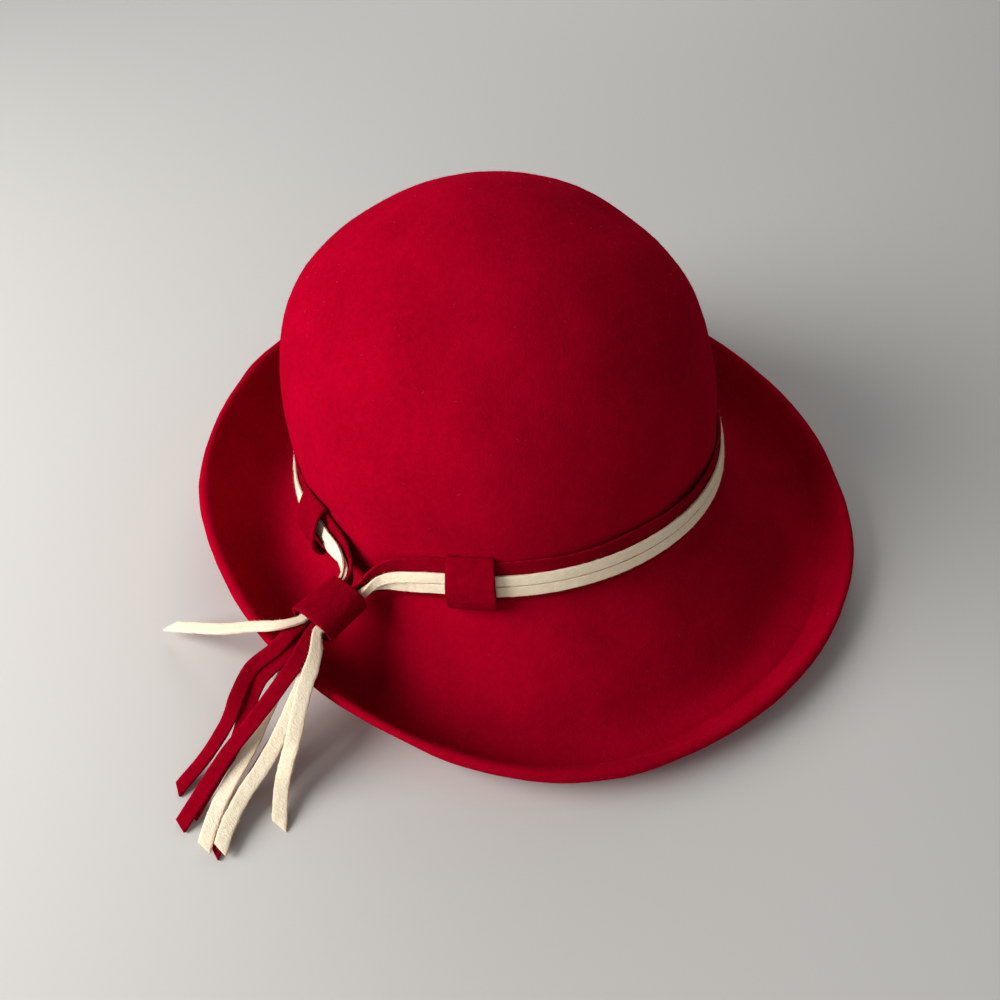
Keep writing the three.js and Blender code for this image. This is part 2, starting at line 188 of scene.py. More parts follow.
# %% Routes of the loose ends
CREAM_END = {"width": 5.6, "thick": 1.3, "ragged": 0.22, "pinch": 0.35}
RED_END = {"width": 6.0, "thick": 1.4, "ragged": 0.08, "pinch": 0.1}
SLIM_RED_END = {"width": 4.8, "thick": 1.3, "ragged": 0.10, "pinch": 0.1}
ENDS = {
    "cream_left": {**CREAM_END, "slant": 4.5, "narrow": 0.1, "rows": [
        (-119, -15, 32, 0), (-123, -16, 32, 6), (-131, -13, 32, 12), (-138, -4, 27, 10),
        (-146, 6, 21, 6), (-153, 18, 14, 4), (-160, 32, 5, 4),
    ]},
    "cream_right": {**CREAM_END, "slant": 4, "narrow": 0.05, "rows": [
        (-117, -24, 32.3, 0), (-121, -25, 32.3, -12), (-127, -33, 31.2, -18), (-137, -41, 26.5, -12),
        (-147, -50, 20, -8), (-152, -53, 14.5, -6), (-158, -57, 7, -4), (-165, -66, 1, 0),
    ]},
    "red_outer": {**RED_END, "slant": 2.5, "narrow": 0.15, "rows": [
        (-118, -15, 30.5, 0), (-123, -16, 30.5, 0), (-129, -18, 30.5, -8), (-136, -19, 28, -10),
        (-146, -19, 25, -12), (-155, -24, 22, -8), (-160, -27, 18, -6), (-166, -28.5, 12.5, -4),
        (-175, -30, 6, 0), (-187, -32, 1, 0),
    ]},
    "red_second": {**RED_END, "slant": 1.6, "narrow": 0.05, "rows": [
        (-117, -22, 30.5, 0), (-121, -22, 30.5, 0), (-127, -26, 30.5, -6), (-134, -30, 29, -10),
        (-144, -33, 25, -8), (-156, -36, 20, -4), (-168, -38, 14, 0), (-178, -41, 9, 0),
        (-192, -45, 1, 0),
    ]},
    "cream_middle": {**CREAM_END, "slant": 3.2, "narrow": 0.05, "rows": [
        (-117, -22, 29, 0), (-121, -24, 29, 0), (-125, -30, 28, -6), (-135, -37, 26, -14),
        (-146, -43, 20, -16), (-158, -48, 13, -18), (-170, -52, 8, -16), (-179, -57, 5, -10),
        (-185, -62, 3, -4),
    ]},
    "cream_inner": {**CREAM_END, "slant": 2.8, "narrow": 0.05, "rows": [
        (-118, -16, 27.2, 0), (-122, -17, 27.2, 0), (-129, -22.5, 26, 0), (-136, -27, 24, 0),
        (-144, -31, 21, 0), (-152, -35, 16.5, 0), (-160, -39.5, 12.5, 0), (-170, -44.5, 9, 2),
        (-180, -50, 5.5, 0), (-189, -58, 3, 0),
    ]},
    "red_under_a": {**SLIM_RED_END, "width": 5.8, "slant": 1.5, "narrow": 0.15, "rows": [
        (-118, -16, 29, 0), (-122, -17, 29, 0), (-129, -20.5, 28, 0), (-136, -23, 26.2, 0),
        (-146, -24.3, 23, 0), (-155, -29.5, 18, 0), (-164, -35.5, 12, 0), (-172, -38.5, 8.5, 0),
        (-180, -41.5, 4.5, 0), (-187, -44, 1, 0),
    ]},
    "red_under_b": {**SLIM_RED_END, "slant": 3.5, "narrow": 0.1, "rows": [
        (-117, -22.5, 27.2, 0), (-121, -23.5, 27.2, 0), (-127, -29, 25.5, 0), (-134, -34.5, 23.2, 0),
        (-143, -39.5, 18.5, 0), (-154, -44, 12.5, 0), (-166, -48.5, 7, 0), (-176, -53, 3.2, 0),
        (-187, -61, 1, 0),
    ]},
}
print(len(ENDS), "loose ends")

# %% [markdown]
# ## A ribbon along a route
#
# A curve with a flat bevel would give a ribbon too. Carrying a rounded flat section along a smooth
# path, ring by ring, also lets the hand-cut edges wander, the end narrow, the tip be cut at a slant
# and each point know how near a cut edge it is, which the finish uses later.

# %% Path and section of a ribbon
RING_PITCH = 0.5          # millimetres between rings
STEPS_PER_ROW = 24        # fine steps between two rows, before the path is cut into rings


def smooth_path(rows, pitch):
    """A smooth curve through the rows, cut into equal steps of about pitch, and its length."""
    given = np.array(rows, float)
    held = np.vstack([2 * given[0] - given[1], given, 2 * given[-1] - given[-2]])
    t = np.linspace(0, 1, STEPS_PER_ROW, endpoint=False)[:, None]
    runs = [
        0.5 * (2 * b + (c - a) * t + (2 * a - 5 * b + 4 * c - d) * t**2 + (3 * b - a - 3 * c + d) * t**3)
        for a, b, c, d in zip(held, held[1:], held[2:], held[3:])
    ]
    fine = np.vstack(runs + [held[-2:-1]])
    run = np.r_[0, np.cumsum(np.linalg.norm(np.diff(fine[:, :3], axis=0), axis=1))]
    at = np.linspace(0, run[-1], int(run[-1] / pitch) + 1)
    return np.stack([np.interp(at, run, column) for column in fine.T], axis=1), run[-1]


def flat_section(width, thick):
    """Points round a flat strip's section with rounded corners, as (across, out) pairs."""
    corner = 0.3 * thick
    reach, rise = width / 2 - corner, thick / 2 - corner
    points = []
    for turn, across, out in [(0, 1, 1), (90, -1, 1), (180, -1, -1), (270, 1, -1)]:
        for step in (15, 45, 75):
            angle = math.radians(turn + step)
            points.append((across * reach + corner * math.cos(angle), out * rise + corner * math.sin(angle)))
        if turn in (0, 180):
            points += [(across * share * reach, out * thick / 2) for share in (0.6, 0.2, -0.2, -0.6)]
    return np.array(points)


print("section points:", len(flat_section(5.6, 1.3)))

# %% Which way a ribbon faces
def frames_along(path):
    """Directions ahead, across and out of the face along a path of x, y, z and lean."""
    ahead = unit(np.gradient(path[:, :3], axis=0))
    across = unit(np.cross([0, 0, 1], ahead))
    face = np.cross(ahead, across)
    lean = np.radians(path[:, 3])[:, None]
    return ahead, across * np.cos(lean) + face * np.sin(lean), face * np.cos(lean) - across * np.sin(lean)


def edge_wander(run, side, seed):
    """How a hand-cut edge strays, by slow and quick noise along the run in millimetres."""
    slow = noise.noise(Vector((run / 3.5, side * 7, seed)))
    quick = noise.noise(Vector((run / 0.9, side * 7, seed + 9)))
    return slow + 0.6 * quick


# %% Ribbon
PINCHED_UNTIL = (4, 20)   # millimetres from the start where the slide's pinch fades
UNEVEN = 0.15             # share of the thickness that varies along the ribbon
LOWEST_RIBBON = 0.05      # millimetres above the table


def make_ribbon(name, rows, width, thick, ragged, pinch, slant, narrow, seed):
    path, length = smooth_path(rows, RING_PITCH)
    ahead, across, out = frames_along(path)
    section = flat_section(width, thick)
    share = section[:, 0] / (width / 2)
    rings = len(path)
    points, edge = [], []
    for i in range(rings):
        run = i * length / (rings - 1)
        left = length - run
        wander = np.where(share > 0, edge_wander(run, 1, seed), -edge_wander(run, 0, seed))
        slimmer = 1 - narrow * run / length - pinch * (1 - ease(*PINCHED_UNTIL, run))
        side = section[:, 0] * slimmer + wander * ragged * np.abs(share) ** 3
        rise = section[:, 1] * (1 + UNEVEN * noise.noise(Vector((run / 6, 3.3, seed))))
        ahead_by = slant * share / 2 * max(0, 1 - left / (abs(slant) + 2))
        ring = path[i, :3] + np.outer(side, across[i]) + np.outer(rise, out[i])
        points.append(ring + np.outer(ahead_by, ahead[i]))
        edge.append(np.abs(share) ** 8)
    edge[-1] = np.ones(len(section))
    count = len(section)
    faces = [
        (i * count + k, i * count + (k + 1) % count, (i + 1) * count + (k + 1) % count, (i + 1) * count + k)
        for i in range(rings - 1)
        for k in range(count)
    ]
    faces.append(tuple(range(count))[::-1])
    faces.append(tuple(range((rings - 1) * count, rings * count)))
    points = np.vstack(points)
    points[:, 2] = np.maximum(points[:, 2], LOWEST_RIBBON)
    piece = new_piece(name, points * MM, faces)
    store_mask(piece, "cut_edge", np.concatenate(edge))
    return piece, path[:, :3] * MM, length * MM


def face_outwards(piece):
    select_only(piece)
    bpy.ops.object.mode_set(mode="EDIT")
    bpy.ops.mesh.select_all(action="SELECT")
    bpy.ops.mesh.normals_make_consistent(inside=False)
    bpy.ops.object.mode_set(mode="OBJECT")


# %% Make the eight ends
ends = {}
for seed, (name, values) in enumerate(ENDS.items()):
    piece, route, length = make_ribbon("end_" + name, seed=seed, **values)
    face_outwards(piece)
    declare(piece, "tail_" + name)
    ends[name] = piece
    print(piece.name, round(length / MM), "mm long,", len(piece.data.polygons), "faces")

# %% [markdown]
# ## Copies of the measured solids
#
# A measured solid is loose triangles, true to size but with facets. A copy of it, merged and turned
# back into quads, makes a clean cage. Its hard corners are bevelled, because cut felt has a small
# round edge, and a subdivision surface then rounds it. The solid itself is left as it is.

# %% Copy, bevel and round
MERGE = 0.001 * MM                # points this near are one point
FLAT_ENOUGH = math.radians(60)    # two triangles that bend less than this become one quad
HARD = math.radians(50)           # an edge that bends more than this is a corner


def copy_of(node, name):
    piece = bpy.data.objects.new(name, frame["nodes"][node].data.copy())
    piece.data.name = name
    piece.data.materials.clear()
    bpy.context.scene.collection.objects.link(piece)
    select_only(piece)
    bpy.ops.object.mode_set(mode="EDIT")
    bpy.ops.mesh.select_all(action="SELECT")
    bpy.ops.mesh.remove_doubles(threshold=MERGE)
    bpy.ops.mesh.tris_convert_to_quads(face_threshold=FLAT_ENOUGH, shape_threshold=FLAT_ENOUGH)
    bpy.ops.object.mode_set(mode="OBJECT")
    return piece


def bevel_corners(piece, width):
    select_only(piece)
    bpy.ops.object.mode_set(mode="EDIT")
    bpy.ops.mesh.select_mode(type="EDGE")
    bpy.ops.mesh.select_all(action="DESELECT")
    bpy.ops.mesh.edges_select_sharp(sharpness=HARD)
    bpy.ops.mesh.bevel(offset=width * MM, segments=2, affect="EDGES")
    bpy.ops.object.mode_set(mode="OBJECT")


def round_over(piece, levels):
    select_only(piece)
    rounding = piece.modifiers.new("rounding", "SUBSURF")
    rounding.levels = levels
    rounding.render_levels = levels
    bpy.ops.object.modifier_apply(modifier=rounding.name)
    bpy.ops.object.shade_smooth()


# %% [markdown]
# ## The felt body
#
# Crown and brim are one solid of 6-degree facets, and two levels of subdivision make them smooth.
# Felt that was steamed over a block is never quite even, so broad, shallow lumps move its surface a
# few tenths of a millimetre. What touches the table stays flat.

# %% Felt body
CROWN_AXIS = np.array([0, 18.25]) * MM
LUMPS = [(50, 1.0), (20, 0.5), (6, 0.14)]    # how broad and how high, in millimetres
LUMPS_SET_IN = (1.5, 8)                      # heights between which they grow to full height

hat = copy_of("felt_body", "hat_felt")
round_over(hat, 2)
points = points_of(hat)
lumps = sum(high * waves(points, broad * MM, seed) for seed, (broad, high) in enumerate(LUMPS, 1))
clear_of_table = ease(LUMPS_SET_IN[0] * MM, LUMPS_SET_IN[1] * MM, points[:, 2])
move_to(hat, points + normals_of(hat) * (lumps * MM * clear_of_table)[:, None])
declare(hat, "felt_body")
print("hat_felt", len(hat.data.polygons), "faces")

# %% [markdown]
# ## The hem's stitched line
#
# The rim is folded under and stitched down. On the upper face only a faint furrow shows, where the
# thread pulls the felt in. How far a point lies from the rim is found from the rim's reach in its
# own direction from the crown's axis.

# %% Distance in from the rim, and the furrow
DIRECTIONS = 240
EVENED = [0.1, 0.2, 0.4, 0.2, 0.1]                   # shares of a direction and its neighbours
FURROW = {"back": 10.8, "wide": 0.8, "deep": 0.2}    # back from the rim, in millimetres


def reach_of(points):
    flat = points[:, :2] - CROWN_AXIS
    return np.hypot(flat[:, 0], flat[:, 1]), np.degrees(np.arctan2(flat[:, 1], flat[:, 0])) % 360


def rim_table(piece):
    reach, turn = reach_of(points_of(piece))
    bins = (turn / 360 * DIRECTIONS).astype(int) % DIRECTIONS
    rim = np.array([reach[bins == b].max() for b in range(DIRECTIONS)])
    return np.convolve(np.r_[rim[-2:], rim, rim[:2]], EVENED, "valid")


def back_from_rim(points):
    reach, turn = reach_of(points)
    middles = (np.arange(-1, DIRECTIONS + 1) + 0.5) * 360 / DIRECTIONS
    return np.interp(turn, middles, np.r_[rim[-1], rim, rim[0]]) - reach


rim = rim_table(hat)
points, out = points_of(hat), normals_of(hat)
back = back_from_rim(points) / MM
furrow = np.exp(-((back - FURROW["back"]) / FURROW["wide"]) ** 2) * (out[:, 2] > 0.3)
move_to(hat, points - out * (furrow * FURROW["deep"] * MM)[:, None])
print("rim reach", round(rim.min() / MM, 1), "to", round(rim.max() / MM, 1), "mm")

# %% [markdown]
# ## Strip, laces, keepers and slide
#
# Each of these was cut from sheet felt or is a flat lace. The top edge of the strip stands a little
# off the crown, which draws the thin dark line above it. The laces' edges wander, since their soft
# pile is not cut dead straight.

# %% Cut pieces
def ruffle(piece, size, depth, seed):
    """Moves points along their normals by a soft noise with lumps of size, depth deep, in mm."""
    points = points_of(piece)
    spread = waves(points, size * MM, seed) + 0.5 * waves(points, size * MM / 2.3, seed + 1)
    move_to(piece, points + normals_of(piece) * (spread * depth * MM)[:, None])


def cut_piece(node, name, slot, corner, levels, depth):
    piece = copy_of(node, name)
    bevel_corners(piece, corner)
    round_over(piece, levels)
    ruffle(piece, size=2.4, depth=depth, seed=5)
    declare(piece, node)
    print(name, len(piece.data.polygons), "faces")
    return piece


LACE_CUT = {"corner": 0.25, "levels": 3, "depth": 0.12}
KEEPER_CUT = {"corner": 0.6, "levels": 2, "depth": 0.16}

strip = cut_piece("band_strip", "felt_strip", "felt_red", corner=0.35, levels=2, depth=0.12)
lace_upper = cut_piece("lace_upper", "upper_lace", "lace_cream", **LACE_CUT)
lace_lower = cut_piece("lace_lower", "lower_lace", "lace_cream", **LACE_CUT)
keeper_front = cut_piece("keeper_front", "front_keeper", "felt_red", **KEEPER_CUT)
keeper_side = cut_piece("keeper_side", "side_keeper", "felt_red", **KEEPER_CUT)
slide = cut_piece("slide_tube", "felt_slide", "felt_red", corner=0.6, levels=3, depth=0.2)

# %% [markdown]
# ## Soft corners for the slide
#
# The slide is a wide strap rolled into a flat tube. Its solid's section has square corners, and
# thick felt never folds that sharply. A wider bevel would round the rims of its mouths as well, so
# the outer corners are pressed in by a formula instead, and the inner face stays as it is.

# %% The slide's corners are soft
SLIDE = {"points": -77, "half_width": 10.3, "half_thick": 5.9, "soft": 0.55}    # degrees, mm, share
OUTER_SKIN = (0.84, 0.94)    # from the middle to the outer face, where the press sets in


def soften_corners(piece):
    """Presses in the outer corners of the slide's square section, and leaves its inner face."""
    points = points_of(piece)
    middle = (points.min(axis=0) + points.max(axis=0)) / 2
    turn = math.radians(SLIDE["points"])
    side = np.array([-math.cos(turn), -math.sin(turn), 0])
    across = (points - middle) @ side / (SLIDE["half_width"] * MM)
    rise = (points[:, 2] - middle[2]) / (SLIDE["half_thick"] * MM)
    square = (across**4 + rise**4) ** 0.25
    corner = np.hypot(across, rise) / np.maximum(square, 0.01) - 1
    press = SLIDE["soft"] * corner * ease(*OUTER_SKIN, square)
    points -= np.outer(across * press * SLIDE["half_width"] * MM, side)
    points[:, 2] -= rise * press * SLIDE["half_thick"] * MM
    move_to(piece, points)
    return press


print("slide's corners pressed in by up to", round(100 * soften_corners(slide).max()), "%")

# %% [markdown]
# ## The strip's top edge
#
# The strip is only as tight as it has to be, so its top edge stands about a millimetre off the
# crown. Next to the slide the strip is already drawn away, and there it is left alone.

# %% The strip's top edge stands off the crown
STAND_OFF = {"deep": 5.0, "out": 1.1, "wave": 30}    # millimetres
NEAR_SLIDE = (178, 222)    # degrees round the crown's axis
SECTOR = 6                 # degrees, in each of which the strip's top is found
SECTORS = 360 // SECTOR


def stand_off(piece):
    points = points_of(piece)
    _, turn = reach_of(points)
    bins = (turn / SECTOR).astype(int)
    top = np.array([points[bins == b, 2].max() if (bins == b).any() else 0 for b in range(SECTORS)])
    middles = np.arange(SECTORS) * SECTOR + SECTOR / 2
    below = (np.interp(turn, middles, top, period=360) - points[:, 2]) / MM
    away = unit(points[:, :2] - CROWN_AXIS)
    uneven = 0.75 + 0.8 * waves(points, STAND_OFF["wave"] * MM, 11)
    push = (1 - ease(0, STAND_OFF["deep"], below)) * STAND_OFF["out"] * uneven * MM
    push[(turn > NEAR_SLIDE[0]) & (turn < NEAR_SLIDE[1])] = 0
    points[:, :2] += away * push[:, None]
    move_to(piece, points)
    return push


print("strip stands off by up to", round(stand_off(strip).max() / MM, 2), "mm")

# %% [markdown]
# ## Which points lie on a cut edge
#
# Where felt or lace is cut, the finish gives it an edge colour: on felt a lighter red, partly the
# wool's paler inside and partly painted highlight where the edge catches the light, and on lace a
# pink tint, a painted reflection of the red felt beside it. On a flat piece these are the narrow
# faces, found by how thin the piece is behind them: from a broad face the other side is near, and
# from a cut edge it is far.

# %% Mark cut edges
THICKNESS = [(strip, 1.3), (lace_upper, 1.1), (lace_lower, 1.1), (slide, 1.8)]
THICKNESS += [(keeper_front, 1.7), (keeper_side, 1.7)]
CUT_EDGE = (1.6, 2.6)    # this many thicknesses behind a point, felt turns from face to cut edge
SKIN = 0.02 * MM         # the ray starts this far in
LONGEST = 20 * MM        # and looks this far


def mark_cut_edges(piece, thick):
    tree = BVHTree.FromObject(piece, bpy.context.evaluated_depsgraph_get())
    deep = []
    for point, normal in zip(points_of(piece), normals_of(piece)):
        inward = -Vector(normal)
        hit = tree.ray_cast(Vector(point) + inward * SKIN, inward, LONGEST)
        deep.append(hit[3] if hit[3] else 0.0)
    near, far = (share * thick * MM for share in CUT_EDGE)
    store_mask(piece, "cut_edge", ease(near, far, np.array(deep)))


for piece, thick in THICKNESS:
    mark_cut_edges(piece, thick)
print("cut edges marked on", len(THICKNESS), "pieces")

# %% [markdown]
# ## Scattering small things
#
# Nap, lint and stitches are many copies of one small shape. The shape is modelled once, and its
# points are then placed by numpy, so thousands of copies make one mesh. Each place has a direction
# along the copy, one out of the surface, and three sizes.

# %% A small shape
def take_shape(primitive, **sizes):
    """Models a small shape with an operator and returns its points and its faces, in a fixed order."""
    if bpy.context.view_layer.objects.active:
        select_only(bpy.context.view_layer.objects.active)
    primitive(**sizes)
    piece = bpy.context.active_object
    points = points_of(piece)
    faces = sorted(tuple(polygon.vertices) for polygon in piece.data.polygons)
    bpy.data.objects.remove(piece)
    return points, faces


# %% Lay copies of a shape
LOWEST_COPY = 0.02 * MM    # above the table


def scatter(name, shape, places, along, out, sizes):
    points, faces = shape
    side = unit(np.cross(out, along))
    up = np.cross(along, side)
    scaled = points[None] * sizes[:, None, :]
    placed = (
        places[:, None]
        + scaled[..., 0:1] * along[:, None]
        + scaled[..., 1:2] * side[:, None]
        + scaled[..., 2:3] * up[:, None]
    )
    placed[..., 2] = np.maximum(placed[..., 2], LOWEST_COPY)
    count = len(points)
    all_faces = [tuple(v + i * count for v in face) for i in range(len(places)) for face in faces]
    return new_piece(name, placed.reshape(-1, 3), all_faces)


# %% Random places on a piece
rng = np.random.default_rng(7)


def spots_on(piece, count, keep):
    """Random places on a piece's faces, with their normals, where keep says so."""
    piece.data.calc_loop_triangles()
    corners = read(piece.data.loop_triangles, "vertices").astype(int)
    points, out = points_of(piece), normals_of(piece)
    a, b, c = points[corners[:, 0]], points[corners[:, 1]], points[corners[:, 2]]
    area = np.linalg.norm(np.cross(b - a, c - a), axis=1)
    chosen = rng.choice(len(corners), count, p=area / area.sum())
    u, v = rng.random((2, count, 1))
    flip = u + v > 1
    u, v = np.where(flip, 1 - u, u), np.where(flip, 1 - v, v)
    places = a[chosen] + u * (b - a)[chosen] + v * (c - a)[chosen]
    facing = unit(out[corners[chosen]].mean(axis=1))
    kept = keep(places, facing)
    return places[kept], facing[kept]


def any_way_along(out):
    """A random direction along the surface at each place."""
    way = rng.normal(size=out.shape)
    return unit(way - (way * out).sum(axis=1)[:, None] * out)


print("felt's faces:", round(sum(polygon.area for polygon in hat.data.polygons), 3), "square metres")

# %% [markdown]
# ## The nap
#
# Wool felt has a short nap: the ends of fibres that stand out of the face. They soften every outline
# and catch the light at a grazing angle. Each fibre is a three-sided spike, leaning its own way.
# Only the outer faces get them.

# %% Where nap may stand
BRIM_WIDTH = 42 * MM     # the brim's upper face, back from the rim
ABOVE_BRIM = 60 * MM     # heights where only the crown is left


def outside_only(places, out):
    """True where the felt shows from outside: not under the brim, and not inside the crown."""
    reach, _ = reach_of(places)
    inside_crown = (out[:, :2] * (places[:, :2] - CROWN_AXIS)).sum(axis=1) < -0.02 * reach
    under = out[:, 2] < -0.15
    top_seen = (places[:, 2] > ABOVE_BRIM) & (out[:, 2] > 0.2)
    on_brim = back_from_rim(places) < BRIM_WIDTH
    return ~under & (~inside_crown | on_brim | top_seen)


def not_underneath(places, out):
    return out[:, 2] > -0.6


# %% Nap on felt and laces
FIBRE = take_shape(bpy.ops.mesh.primitive_cone_add, vertices=3, radius1=0.5, depth=1, end_fill_type="NGON")
ROOTED = 0.42            # share of a fibre's length between the felt's face and its middle


def make_nap(name, pieces, keep, density, length, width, stand):
    """Fibres on pieces: density a square mm, length and width in mm, stand is how upright they are."""
    found = []
    for piece in pieces:
        area = sum(polygon.area for polygon in piece.data.polygons)
        found.append(spots_on(piece, int(area / MM**2 * density), keep))
    places = np.vstack([f[0] for f in found])
    out = np.vstack([f[1] for f in found])
    lean = any_way_along(out)
    steep = rng.uniform(*stand, (len(out), 1))
    up = out * steep + lean * np.sqrt(1 - steep**2)
    long = length * MM * rng.gamma(4, 0.25, len(out))
    thick = width * MM * rng.uniform(0.7, 1.3, len(out))
    sizes = np.stack([thick, thick, long], axis=1)
    along = unit(np.cross(lean, up))
    piece = scatter(name, FIBRE, places + up * (long * ROOTED)[:, None], along, up, sizes)
    piece.data.polygons.foreach_set("use_smooth", [False] * len(piece.data.polygons))
    declare(piece)
    print(name, len(places), "fibres")
    return piece


red_trim = [strip, keeper_front, keeper_side, slide] + [ends[n] for n in ends if "red" in n]
cream_trim = [lace_upper, lace_lower] + [ends[n] for n in ends if "cream" in n]
nap = make_nap("felt_nap", [hat], outside_only,
               density=0.38, length=0.85, width=0.055, stand=(0.25, 0.9))
trim_nap = make_nap("trim_nap", red_trim, not_underneath,
                    density=1.0, length=0.6, width=0.05, stand=(0.3, 0.95))
lace_nap = make_nap("lace_nap", cream_trim, not_underneath,
                    density=2.2, length=0.75, width=0.065, stand=(0.2, 0.95))

# %% [markdown]
# ## Lint
#
# Dark felt picks up pale fibres. Most are hairs about a millimetre long that lie nearly flat, and
# they gather on top of the crown. One fibre is a thin bar that narrows to one end.

# %% Lint on the crown and brim
LINT = take_shape(bpy.ops.mesh.primitive_cone_add, vertices=4, radius1=0.5, radius2=0.25, depth=1)
LINT_THICK = (0.025, 0.05)    # millimetres
LINT_RISE = 0.35              # how much a fibre's end may lift, as a share of its length
LINT_OFF = 0.08               # millimetres off the felt
TOP_OF_CROWN = 130 * MM
ON_BRIM = 0.25                # chance that a fibre stays on the brim; on top of the crown it always does


def mostly_on_top(places, out):
    crown_top = ease(ABOVE_BRIM, TOP_OF_CROWN, places[:, 2])
    return outside_only(places, out) & (rng.random(len(places)) < ON_BRIM + (1 - ON_BRIM) * crown_top)


def make_lint(name, tries):
    places, out = spots_on(hat, tries, mostly_on_top)
    up = unit(any_way_along(out) + out * rng.uniform(0.0, LINT_RISE, (len(out), 1)))
    long = MM * rng.gamma(3, 0.36, len(out))
    thick = MM * rng.uniform(*LINT_THICK, len(out))
    along = unit(np.cross(out, up))
    sizes = np.stack([thick, thick, long], axis=1)
    piece = scatter(name, LINT, places + out * LINT_OFF * MM, along, up, sizes)
    declare(piece)
    print(name, len(places), "fibres")
    return piece


lint = make_lint("lint", 2600)

# %% [markdown]
# ## Stitches of the hem
#
# The thread matches the felt, so the stitches only show as small beads in the furrow. One stitch is
# a sphere drawn out along the seam, and its copies stand on the felt, found by looking down onto it.

# %% Hem stitches
STITCH = take_shape(bpy.ops.mesh.primitive_uv_sphere_add, segments=8, ring_count=6, radius=0.5)
STITCHES = {"count": 300, "long": 1.7, "wide": 0.3, "high": 0.25}
SUNK = 0.05               # millimetres that the thread is drawn into the felt
ABOVE = Vector((0, 0, 0.1))
DOWN = Vector((0, 0, -1))


def make_stitches(name):
    tree = BVHTree.FromObject(hat, bpy.context.evaluated_depsgraph_get())
    places, out = [], []
    for i in range(STITCHES["count"]):
        turn = 360 * i / STITCHES["count"]
        reach = np.interp(turn, np.arange(DIRECTIONS) * 360 / DIRECTIONS, rim, period=360)
        away = Vector((math.cos(math.radians(turn)), math.sin(math.radians(turn)), 0))
        at = Vector((*CROWN_AXIS, 0)) + away * (reach - FURROW["back"] * MM)
        place, normal, _, _ = tree.ray_cast(at + ABOVE, DOWN)
        places.append(place)
        out.append(normal)
    places, out = np.array(places), np.array(out)
    along = unit(np.roll(places, -1, axis=0) - places)
    size = np.array([STITCHES["long"], STITCHES["wide"], STITCHES["high"]]) * MM
    sizes = np.tile(size, (len(places), 1))
    piece = scatter(name, STITCH, places - out * SUNK * MM, along, out, sizes)
    declare(piece)
    print(name, len(places), "stitches")
    return piece


stitches = make_stitches("hem_stitches")

# %% [markdown]
# ## Finishes
#
# Felt and lace are both matted wool: no gloss, a cloudy colour, and fine fibres that lie every way.
# One node group makes that face for both. It puts out a colour and a height, and the material keeps
# the shader, whose sheen is a plain number.

# %% Helpers for nodes
def add_socket(group, name, kind, way):
    group.interface.new_socket(name, in_out=way, socket_type=kind)


def feed(links, value, socket):
    """Links another node's output to a socket, or sets a plain value on it."""
    if isinstance(value, bpy.types.NodeSocket):
        links.new(value, socket)
    else:
        socket.default_value = value


def noise_node(nodes, links, source, scale, detail, stretch=None):
    texture = nodes.new("ShaderNodeTexNoise")
    texture.inputs["Scale"].default_value = scale
    texture.inputs["Detail"].default_value = detail
    if stretch:
        mapping = nodes.new("ShaderNodeMapping")
        mapping.inputs["Scale"].default_value = stretch
        links.new(source, mapping.inputs["Vector"])
        source = mapping.outputs["Vector"]
    links.new(source, texture.inputs["Vector"])
    return texture.outputs["Fac"]


def blend(nodes, links, amount, first, second):
    mix = nodes.new("ShaderNodeMix")
    mix.data_type = "RGBA"
    for socket, value in ((mix.inputs[0], amount), (mix.inputs[6], first), (mix.inputs[7], second)):
        feed(links, value, socket)
    return mix.outputs[2]


def sum_up(nodes, links, how, first, second):
    math_node = nodes.new("ShaderNodeMath")
    math_node.operation = how
    for socket, value in zip(math_node.inputs, (first, second)):
        feed(links, value, socket)
    return math_node.outputs[0]


def spread(nodes, links, value, low, high):
    fit = nodes.new("ShaderNodeMapRange")
    fit.inputs["From Min"].default_value = low
    fit.inputs["From Max"].default_value = high
    links.new(value, fit.inputs["Value"])
    return fit.outputs["Result"]


# %% Group: matted wool
CLOUD, TUFT, PILE = 45, 420, 1800    # noise scales: the lumps are about 1 m divided by this


def matted_wool_group():
    group = bpy.data.node_groups.new("matted_wool", "ShaderNodeTree")
    add_socket(group, "Worn", "NodeSocketColor", "INPUT")
    add_socket(group, "Deep", "NodeSocketColor", "INPUT")
    add_socket(group, "Cut edge", "NodeSocketColor", "INPUT")
    add_socket(group, "Color", "NodeSocketColor", "OUTPUT")
    add_socket(group, "Height", "NodeSocketFloat", "OUTPUT")
    nodes, links = group.nodes, group.links
    given, made = nodes.new("NodeGroupInput"), nodes.new("NodeGroupOutput")
    place = nodes.new("ShaderNodeTexCoord").outputs["Object"]
    cloud = spread(nodes, links, noise_node(nodes, links, place, CLOUD, 3), 0.3, 0.7)
    tuft = spread(nodes, links, noise_node(nodes, links, place, TUFT, 4), 0.35, 0.65)
    fibre = spread(nodes, links, noise_node(nodes, links, place, PILE, 2, (1, 0.35, 1)), 0.3, 0.7)
    mask = sum_up(nodes, links, "MULTIPLY", cloud, 0.45)
    mask = sum_up(nodes, links, "ADD", mask, sum_up(nodes, links, "MULTIPLY", tuft, 0.3))
    mask = sum_up(nodes, links, "ADD", mask, sum_up(nodes, links, "MULTIPLY", fibre, 0.25))
    color = blend(nodes, links, mask, given.outputs["Deep"], given.outputs["Worn"])
    # Cut edges take the edge colour: on felt partly painted highlight, on lace a painted reflection of the
    # red felt.
    edge = nodes.new("ShaderNodeAttribute")
    edge.attribute_name = "cut_edge"
    uneven = sum_up(nodes, links, "MULTIPLY", edge.outputs["Fac"], tuft)
    color = blend(nodes, links, uneven, color, given.outputs["Cut edge"])
    links.new(color, made.inputs["Color"])
    height = sum_up(nodes, links, "ADD", sum_up(nodes, links, "MULTIPLY", tuft, 0.6), fibre)
    links.new(height, made.inputs["Height"])
    return group


matted_wool = matted_wool_group()
print("group", matted_wool.name, len(matted_wool.nodes), "nodes")
